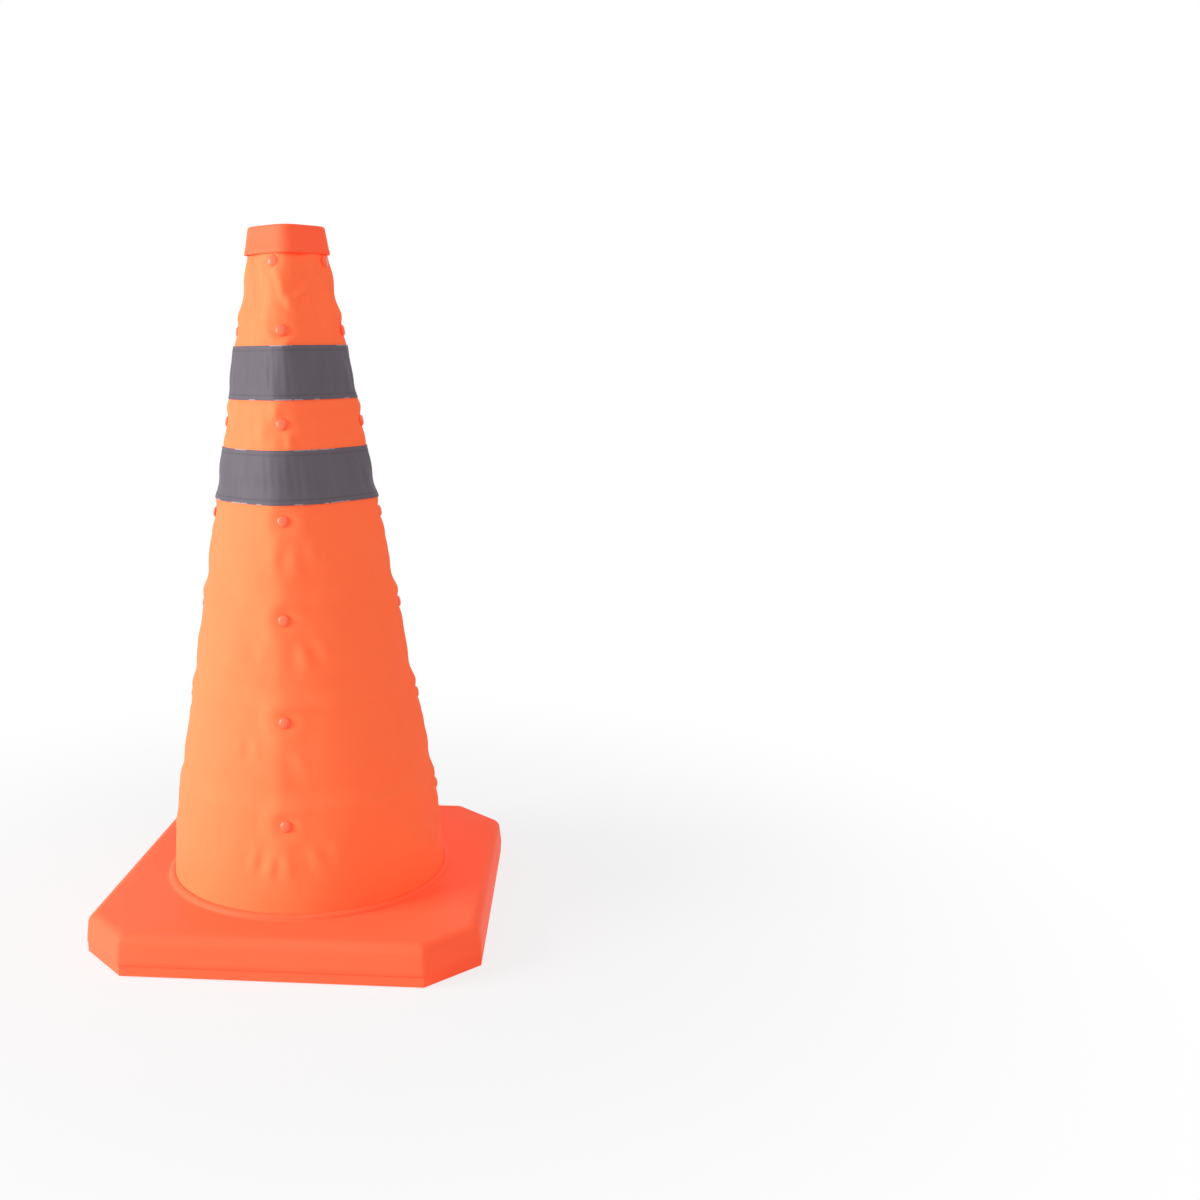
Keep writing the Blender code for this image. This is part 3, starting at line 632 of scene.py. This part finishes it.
def band_finish(colour, height):
    """Reflective tape: grey with upright creases and a close weave, its tone painted lighter on the creases'
    ridges and darker in their valleys, a sewn line near both edges, and pale flecks along the edges. A low
    pinkish grey emission is painted light that lifts the shaded side, standing in for the light that the tape
    sends back."""
    # Painted light: a low pinkish grey emission lifts the tape's shaded side.
    f = Finish("reflective_band_finish", Roughness=0.5, IOR=1.5, Specular_IOR_Level=0.12,
               Emission_Color=(0.95, 0.70, 0.82, 1.0), Emission_Strength=0.055)
    chart = f.map()
    up = f.node("ShaderNodeSeparateXYZ", None, {0: chart}, 1)
    edge = height / 2 - abs(up - height / 2)
    line = abs(edge - STITCH_MARGIN) < 0.45 * MM
    creases = f.streaks(chart, across=190.0, up=26.0, detail=3.0, roughness=0.55)
    broad = f.streaks(chart, across=45.0, up=18.0)
    # Partly painted shade: the tone varies in patches at random, and through the crease noise it is painted
    # lighter on the creases' ridges and darker in their valleys.
    cloth = f.tone(0.5 * creases + 0.5 * broad, colour, 0.66, 1.40)
    sewn = f.mix(0.35 * line, cloth, shade(colour, 0.40))
    dash = f.streaks(chart, across=320.0, up=60.0)
    fleck_patches = f.streaks(chart, across=30.0, up=9.0, detail=1.0)
    # Pale flecks along both edges, in patches at random.
    pale_flecks = (edge < 0.65 * MM) * (0.51 < fleck_patches) * (0.43 < dash)
    f.feed("Base Color", f.mix(0.6 * pale_flecks, sewn, (0.50, 0.44, 0.46, 1.0)))
    f.feed("Roughness", 0.42 + 0.25 * creases)
    weave = f.streaks(chart, across=1500.0, up=1500.0, detail=1.0)
    f.feed("Normal", f.bump(0.9 * creases + 0.12 * weave - 0.4 * line, strength=0.25, distance=0.8 * MM))
    return f.material


def thread_finish(colour):
    """Twisted thread."""
    f = Finish("thread_finish", Roughness=0.7)
    f.feed("Base Color", f.tone(f.noise(f.place(), scale=700.0), colour, 0.7, 1.2))
    return f.material


def rubber_finish():
    """Matt black rubber with a fine grain."""
    f = Finish("foot_rubber_finish", Roughness=0.85)
    grain = f.noise(f.place(), scale=800.0)
    f.feed("Base Color", f.mix(grain, (0.02, 0.02, 0.02, 1), (0.045, 0.045, 0.045, 1)))
    return f.material


def steel_finish():
    """Plain steel screw."""
    f = Finish("screw_steel_finish", Metallic=1.0, Base_Color=(0.55, 0.55, 0.56, 1))
    f.feed("Roughness", 0.3 + 0.2 * f.noise(f.place(), scale=300.0))
    return f.material


def finish_of(name, make, *values):
    """The named material, made on first use."""
    return bpy.data.materials.get(name) or make(*values)


def moulding():
    return finish_of("moulding_finish", moulding_finish, "moulding_finish", tuple(colours().moulding),
                     MOULDING_ROUGHNESS, MOULDING_PAINTED_GLOW)


class CONE_OT_cloth_skin(Operator):
    """Makes the seven cloth panels, each between the two sleeves that it joins"""

    bl_idname = "cone.cloth_skin"
    bl_label = "Cloth Skin"

    def execute(self, context):
        finish = finish_of("orange_cloth_finish", cloth_finish, tuple(colours().cloth))
        for row in range(1, SLEEVES + 1):
            low, high = panel_edge(row - 1), panel_edge(row)
            lines = max(int(round((high - low) / CLOTH_LINE)), 8)
            points, chart = cloth_wall(low, high, lines, lambda angle, z: 0.0, CLOTH_THICKNESS)
            quads = grid_faces(*points.shape[:2], wrap_rows=True)
            obj = piece(f"cloth_panel_{row}", points, quads, finish, chart, sharp=SHARP_ANGLE)
            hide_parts(f"skin_panel_{row}")
            if row == 1:
                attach(obj, BODY[1])
            else:
                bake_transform(obj)
            width, slant, area = flat_cut(low, high)
        return {"FINISHED"}


def flat_cut(low, high, outset=0.0):
    """A sheet's cut is a ring sector: the lower girth, the slant height and the area."""
    bottom, top = float(cone_radius(low)), float(cone_radius(high))
    share = float(np.mean(section(np.linspace(0, math.pi / 2, 90), squareness((low + high) / 2))))
    slant = math.hypot(high - low, bottom - top)
    return 2 * math.pi * (bottom + outset) * share, slant, math.pi * (bottom + top) * share * slant


class CONE_OT_reflective_bands(Operator):
    """Makes the two reflective bands and the stitches along their edges"""

    bl_idname = "cone.reflective_bands"
    bl_label = "Reflective Bands"

    def execute(self, context):
        s = sizes()
        finish = finish_of("reflective_band_finish", band_finish, tuple(colours().band), s.band_height)
        thread = finish_of("thread_finish", thread_finish, tuple(colours().thread))
        bands = (("lower_reflective_band", s.lower_band, 5), ("upper_reflective_band", s.upper_band, 6))
        for name, top, row in bands:
            low = top - s.band_height
            band = self.band(name, low, top, finish)
            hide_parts(name)
            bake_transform(band)
            stitches = self.stitches(name, low, top, thread)
            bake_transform(stitches)
            width, slant, area = flat_cut(low, top, BAND_OUTSET)
        return {"FINISHED"}

    def band(self, name, low, top, finish):
        """Cloth surface lifted, fuller between its edges, with upright creases and leaning folds: products of
        sines of the angle and the height."""

        def lift(angle, z):
            up = (z - low) / (top - low)
            belly = np.sin(math.pi * np.clip(up, 0, 1)) ** 0.6
            crease = np.sin(37 * angle + 3 * np.sin(4 * angle) + 2 * up) * np.sin(11 * angle + 1.3 + up)
            slope = 19 * angle + 5 * up + 2 * np.sin(3 * angle + 0.7)
            lean = np.sin(slope) * np.sin(7 * angle - 2 * up + 0.4)
            return BAND_LIFT + belly * (BAND_BELLY + BAND_CREASE * crease + BAND_FOLD * lean)

        points, chart = cloth_wall(low, top, BAND_LINES, lift, BAND_THICKNESS)
        quads = grid_faces(*points.shape[:2], wrap_rows=True)
        return piece("sewn_" + name, points, quads, finish, chart, sharp=SHARP_ANGLE)

    def stitches(self, name, low, top, finish):
        """Short threads along both edges: each a spindle, its radius a root of sine, bent along the girth."""
        s = sizes()
        count = int(2 * math.pi * float(cone_radius(top)) * GIRTH_SHARE / s.stitch_pitch)
        centre = (np.arange(count) * 2 * math.pi / count)[None, :, None, None]
        edge = np.array((STITCH_MARGIN, s.band_height - STITCH_MARGIN))[:, None, None, None]
        along = np.linspace(0, 1, STITCH_POINTS)[None, None, :, None]
        ring = np.linspace(0, 2 * math.pi, STITCH_POINTS, endpoint=False)[None, None, None, :]
        swell = STITCH_RADIUS * np.sqrt(np.sin(math.pi * along) + 1e-9)
        length = STITCH_LENGTH / float(cone_radius((low + top) / 2))
        z = low + edge + swell * np.cos(ring) + STITCH_WANDER * np.sin(centre * WANDER_TURNS)
        outset = STITCH_LIFT + swell * np.sin(ring)
        points = cloth_points(*np.broadcast_arrays(centre + (along - 0.5) * length, z, outset))
        quads = repeated(grid_faces(STITCH_POINTS, STITCH_POINTS), STITCH_POINTS ** 2, 2 * count)
        obj = piece(name + "_stitches", points, quads, finish)
        close_poles(obj)
        return obj


def octagon_ring(inset):
    """Points of the base's outline, drawn in by an inset: eight sides at 45 degree steps, their corners
    rounded. Each corner is where two sides meet, cut back to an arc that touches both."""
    s = sizes()
    half = s.base_width / 2
    reach = np.where(np.arange(8) % 2 == 0, half, (2 * half - s.base_chamfer) / math.sqrt(2)) - inset
    turn = np.arange(8) * math.pi / 4
    after = np.roll(reach, -1)
    middle = turn + math.pi / 8
    normal = np.stack((np.cos(turn), np.sin(turn)), axis=-1)
    tangent = np.stack((-np.sin(turn), np.cos(turn)), axis=-1)
    slide = (after - reach * math.cos(math.pi / 4)) / math.sin(math.pi / 4)
    corner = reach[:, None] * normal + slide[:, None] * tangent
    outward = np.stack((np.cos(middle), np.sin(middle)), axis=-1)
    centre = corner - BASE_CORNER / math.cos(math.pi / 8) * outward
    sweep = turn[:, None] + np.linspace(0, math.pi / 4, 6)[None, :]
    arcs = centre[:, None, :] + BASE_CORNER * np.stack((np.cos(sweep), np.sin(sweep)), axis=-1)
    ends = np.roll(arcs[:, 0, :], -1, axis=0)
    share = np.linspace(0, 1, 14)[1:-1][None, :, None]
    sides = arcs[:, -1:, :] + (ends[:, None, :] - arcs[:, -1:, :]) * share
    return np.concatenate((arcs, sides), axis=1).reshape(-1, 2)


def level(outline, z):
    """Points of an outline at one height."""
    return np.column_stack((outline, np.full(len(outline), z)))


class CONE_OT_base(Operator):
    """Makes the moulded base's upper shell with its rounded edge and the bead round the cloth's foot"""

    bl_idname = "cone.base"
    bl_label = "Base"

    def execute(self, context):
        """Closed profile carried round the octagon: up the outer wall and over its fillet, in across the top
        to the bead, over it as a quarter roll, and back under the roof and down the inner wall."""
        s = sizes()
        low, top = s.base_split, s.base_top
        under = top - BASE_ROOF
        arc = np.linspace(0, math.pi / 2, 9)
        foot_inset, foot_rise = np.transpose(BASE_FOOT)
        outer_inset = np.concatenate((foot_inset, BASE_DRAFT + BASE_FILLET * (1 - np.cos(arc))))
        outer_z = np.concatenate((low + foot_rise, top - BASE_FILLET * (1 - np.sin(arc))))
        rings = [level(octagon_ring(inset), z) for inset, z in zip(outer_inset, outer_z)]

        flat = rings[-1][:, :2]
        azimuth = np.arctan2(flat[:, 1], flat[:, 0])
        circle = np.stack((np.cos(azimuth), np.sin(azimuth)), axis=-1)
        bead = s.foot_radius + BEAD_GAP
        foot = bead + BEAD_THICK + BEAD_FLARE
        rings += [level((1 - share) * flat + share * foot * circle, top) for share in BASE_TOP_RINGS]

        inside = bead - BEAD_TUCK
        bead_r = np.concatenate(((foot, bead + BEAD_THICK + BEAD_TOE), bead + BEAD_THICK * np.cos(arc),
                                 (inside, inside)))
        bead_z = np.concatenate(((top, top + BEAD_TOE_RISE), top + BEAD_STEP + BEAD_RISE * np.sin(arc),
                                 (top + BEAD_BACK, under)))
        rings += [level(r * circle, z) for r, z in zip(bead_r, bead_z)]

        near_bead = BASE_TOP_RINGS[-1]
        rings += [level((1 - share) * flat + share * foot * circle, under) for share in (near_bead, 0.0)]
        rings += [level(octagon_ring(inset), top - drop) for inset, drop in BASE_INNER_WALL]
        rings.append(level(octagon_ring(BASE_INNER_FOOT), low))

        quads = grid_faces(len(rings), len(flat), wrap_rows=True)
        obj = piece("base_moulding", np.stack(rings), quads, moulding(), sharp=SHARP_ANGLE)
        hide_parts("base_shell")
        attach(obj, BODY[1])
        return {"FINISHED"}


class CONE_OT_cap(Operator):
    """Makes the square cap with its rounded corners, lip and edge"""

    bl_idname = "cone.cap"
    bl_label = "Cap"

    def execute(self, context):
        """Profile from the roof's underside, round the lower lip and up the wall to the top's middle, carried
        round a superellipse."""
        s = sizes()
        bottom, roof = neck_height(), s.height - CAP_WALL
        side, lip = s.cap_top, s.cap_foot
        rim = side - CAP_EDGE
        arc = np.linspace(0, math.pi / 2, 7)
        lip_inset, lip_rise = np.transpose(CAP_LIP)
        reach = np.concatenate((
            (0.0, CAP_ROOF_RING * (side - CAP_WALL), side - CAP_WALL - CAP_EASE),
            (lip - CAP_WALL, lip - CAP_WALL + CAP_EASE), lip - lip_inset,
            rim + CAP_EDGE * np.cos(arc), rim * np.array(CAP_TOP_RINGS)))
        z = np.concatenate((
            (roof, roof, roof - CAP_EASE),
            (bottom + CAP_INNER_RISE, bottom), bottom + lip_rise,
            s.height - CAP_EDGE + CAP_EDGE * np.sin(arc), np.full(len(CAP_TOP_RINGS), s.height)))
        angle = np.linspace(0, 2 * math.pi, CAP_AROUND, endpoint=False)[None, :]
        radius = reach[:, None] * section(angle - s.column_angle - s.cap_turn, CAP_POWER)
        points = polar(radius, angle, z[:, None])
        obj = piece("square_cap", points, grid_faces(len(reach), CAP_AROUND), moulding(), sharp=CAP_SHARP_ANGLE)
        close_poles(obj)
        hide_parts("top_cap")
        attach(obj, BODY[7])
        return {"FINISHED"}


class CONE_OT_rivets(Operator):
    """Makes the domed rivets, one piece for each row, seated in the cloth's dimples"""

    bl_idname = "cone.rivets"
    bl_label = "Rivets"

    def execute(self, context):
        """Head profile: a crown whose edge is an arc, an underside, and a shank down to the sleeve, turned
        about the cloth's normal at each rivet."""
        s = sizes()
        finish = finish_of("rivet_finish", rivet_finish, tuple(colours().rivet))
        local = self.head(s.rivet_head)
        single = grid_faces(len(local) // RIVET_AROUND, RIVET_AROUND)
        tilt = math.atan((s.row_radius - s.neck_radius) / (neck_height() - s.first_row))
        for row in range(1, SLEEVES + 1):
            angle = np.array([rivet_angle(row, column) for column in range(COLUMNS)])
            seat = cloth_points(angle, np.full(COLUMNS, row_height(row)), RIVET_SEAT)
            out = np.stack((np.cos(angle) * math.cos(tilt), np.sin(angle) * math.cos(tilt),
                            np.full(COLUMNS, math.sin(tilt))), axis=-1)
            side = np.stack((-np.sin(angle), np.cos(angle), np.zeros(COLUMNS)), axis=-1)
            axes = np.stack((side, np.cross(out, side), out), axis=1)
            points = seat[:, None, :] + np.einsum("pi,cij->cpj", local, axes)
            obj = piece(f"rivet_row_{row}", points, repeated(single, len(local), COLUMNS), finish)
            close_poles(obj)
            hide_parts(*(f"rivet_{row}_{column}" for column in range(1, COLUMNS + 1)))
            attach(obj, BODY[row])
        return {"FINISHED"}

    def head(self, radius):
        """Points of one rivet about its own axis, ring by ring from the shank's end to the crown's top."""
        bend = np.linspace(0, math.pi / 2, 9)[1:]
        bend = bend - bend[0]
        reach = np.concatenate(((0.0, RIVET_SHANK, RIVET_SHANK, radius * RIVET_UNDER),
                                radius * np.cos(bend) ** RIVET_ROUNDING, (0.0,)))
        height = np.concatenate(((-RIVET_DEPTH, -RIVET_DEPTH, -RIVET_NECK, 0.0),
                                 RIVET_RIM + RIVET_CROWN * np.sin(bend), (RIVET_RIM + RIVET_CROWN,)))
        turn = np.linspace(0, 2 * math.pi, RIVET_AROUND, endpoint=False)[None, :]
        return polar(reach[:, None], turn, height[:, None]).reshape(-1, 3)


class CONE_OT_hidden_parts(Operator):
    """Gives the sleeves, bottom cover, feet and screws their finishes"""

    bl_idname = "cone.hidden_parts"
    bl_label = "Hidden Parts"

    def execute(self, context):
        # The sleeves' finish carries the painted red emission too, keeping their shaded sides red.
        sleeve = finish_of("sleeve_finish", moulding_finish, "sleeve_finish", SLEEVE_COLOUR, SLEEVE_ROUGHNESS,
                           SLEEVE_PAINTED_GLOW)
        groups = ((sleeve, [f"sleeve_{number}" for number in range(1, SLEEVES + 1)]),
                  (moulding(), ["bottom_cover"]),
                  (finish_of("foot_rubber_finish", rubber_finish), [f"rubber_foot_{n}" for n in range(1, 5)]),
                  (finish_of("screw_steel_finish", steel_finish), [f"cover_screw_{n}" for n in range(1, 5)]))
        for finish, names in groups:
            for name in names:
                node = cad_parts[name]
                node.data.materials.clear()
                node.data.materials.append(finish)
        return {"FINISHED"}


class CONE_OT_stage(Operator):
    """Sets up the floor, the soft studio light, the white background and the camera"""

    bl_idname = "cone.stage"
    bl_label = "Stage"

    def execute(self, context):
        scene = context.scene
        scene.view_settings.view_transform = "Standard"
        self.floor()
        self.background(scene)
        for lamp in LAMPS:
            self.lamp(*lamp)
        scene.camera = self.camera()
        return {"FINISHED"}

    def floor(self):
        """A disc of rings whose paint turns to plain white away from the cone."""
        turn = np.linspace(0, 2 * math.pi, FLOOR_AROUND, endpoint=False)[None, :]
        radius = np.array(FLOOR_RADII)[:, None]
        points = polar(radius, turn, -FLOOR_DROP)
        f = Finish("floor_paint", Roughness=0.9, Specular_IOR_Level=0.0, Base_Color=FLOOR_GREY)
        far = f.node("ShaderNodeVectorMath", {"operation": "LENGTH"}, {0: f.place()}, "Value")
        edge = f.node("ShaderNodeMapRange", {"interpolation_type": "SMOOTHSTEP"},
                      {"Value": far, "From Min": 0.15, "From Max": 0.6, "To Min": 0.80, "To Max": 1.0})
        white = f.node("ShaderNodeEmission", None, {"Color": WHITE, "Strength": 1.0})
        shader = Link(f, f.shader.outputs[0])
        blend = f.node("ShaderNodeMixShader", None, {0: edge * f.shown(), 1: shader, 2: white})
        f.tree.links.new(blend.socket, f.tree.nodes["Material Output"].inputs["Surface"])
        obj = piece("studio_floor", points, grid_faces(len(FLOOR_RADII), FLOOR_AROUND)[:, ::-1], f.material)
        close_poles(obj)

    def background(self, scene):
        """White for the camera, mirrors and glass, and a lower ambient light for the rest."""
        scene.world = bpy.data.worlds.new("studio_white")
        scene.world.use_nodes = True
        graph = Graph(scene.world.node_tree, "Background", Color=WHITE)
        inputs = {"Value": graph.shown(), "To Min": AMBIENT, "To Max": 1.0}
        graph.feed("Strength", graph.node("ShaderNodeMapRange", None, inputs))

    def lamp(self, name, place, target, size, power):
        data = bpy.data.lights.new(name, "AREA")
        data.size = size
        data.energy = power
        obj = bpy.data.objects.new(name, data)
        obj.location = place
        obj.rotation_euler = (Vector(target) - Vector(place)).to_track_quat("-Z", "Y").to_euler()
        bpy.context.scene.collection.objects.link(obj)

    def camera(self):
        """Pinhole set by yaw, pitch and roll, with the picture's centre shifted off the lens axis."""
        data = bpy.data.cameras.new("photo_camera")
        data.sensor_fit = "HORIZONTAL"
        data.sensor_width = CAMERA_SENSOR
        data.lens = CAMERA_LENS
        data.shift_x, data.shift_y = CAMERA_SHIFT
        yaw, pitch, roll = (math.radians(value) for value in CAMERA_DEGREES)
        ahead = Vector((math.sin(yaw) * math.cos(pitch), math.cos(yaw) * math.cos(pitch), -math.sin(pitch)))
        right = Vector((math.cos(yaw), -math.sin(yaw), 0.0))
        up = right.cross(ahead)
        sine, cosine = math.sin(roll), math.cos(roll)
        right, up = cosine * right + sine * up, cosine * up - sine * right
        obj = bpy.data.objects.new("photo_camera", data)
        turn = Matrix((right, up, -ahead)).transposed().to_4x4()
        obj.matrix_world = Matrix.Translation(CAMERA_PLACE) @ turn
        bpy.context.scene.collection.objects.link(obj)
        return obj


class CONE_PT_sidebar(Panel):
    """Lists the cone's pieces and their sizes and colours."""

    bl_idname = "CONE_PT_sidebar"
    bl_label = "Traffic Cone"
    bl_space_type = "VIEW_3D"
    bl_region_type = "UI"
    bl_category = "Cone"

    def draw(self, context):
        column = self.layout.column()
        for operator in OPERATORS:
            column.operator(operator.bl_idname)
        for group in (context.scene.cone_sizes, context.scene.cone_colours):
            for name in group.__annotations__:
                column.prop(group, name)


OPERATORS = (CONE_OT_cloth_skin, CONE_OT_reflective_bands, CONE_OT_base, CONE_OT_cap, CONE_OT_rivets,
             CONE_OT_hidden_parts, CONE_OT_stage)
CLASSES = (ConeSizes, ConeColours, *OPERATORS, CONE_PT_sidebar)


def register():
    for cls in CLASSES:
        bpy.utils.register_class(cls)
    bpy.types.Scene.cone_sizes = PointerProperty(type=ConeSizes)
    bpy.types.Scene.cone_colours = PointerProperty(type=ConeColours)


def unregister():
    del bpy.types.Scene.cone_colours
    del bpy.types.Scene.cone_sizes
    for cls in reversed(CLASSES):
        bpy.utils.unregister_class(cls)


def main():
    register()
    bpy.ops.cone.cloth_skin()
    bpy.ops.cone.reflective_bands()
    bpy.ops.cone.base()
    bpy.ops.cone.cap()
    bpy.ops.cone.rivets()
    bpy.ops.cone.hidden_parts()
    bpy.ops.cone.stage()


if __name__ == "__main__":
    main()
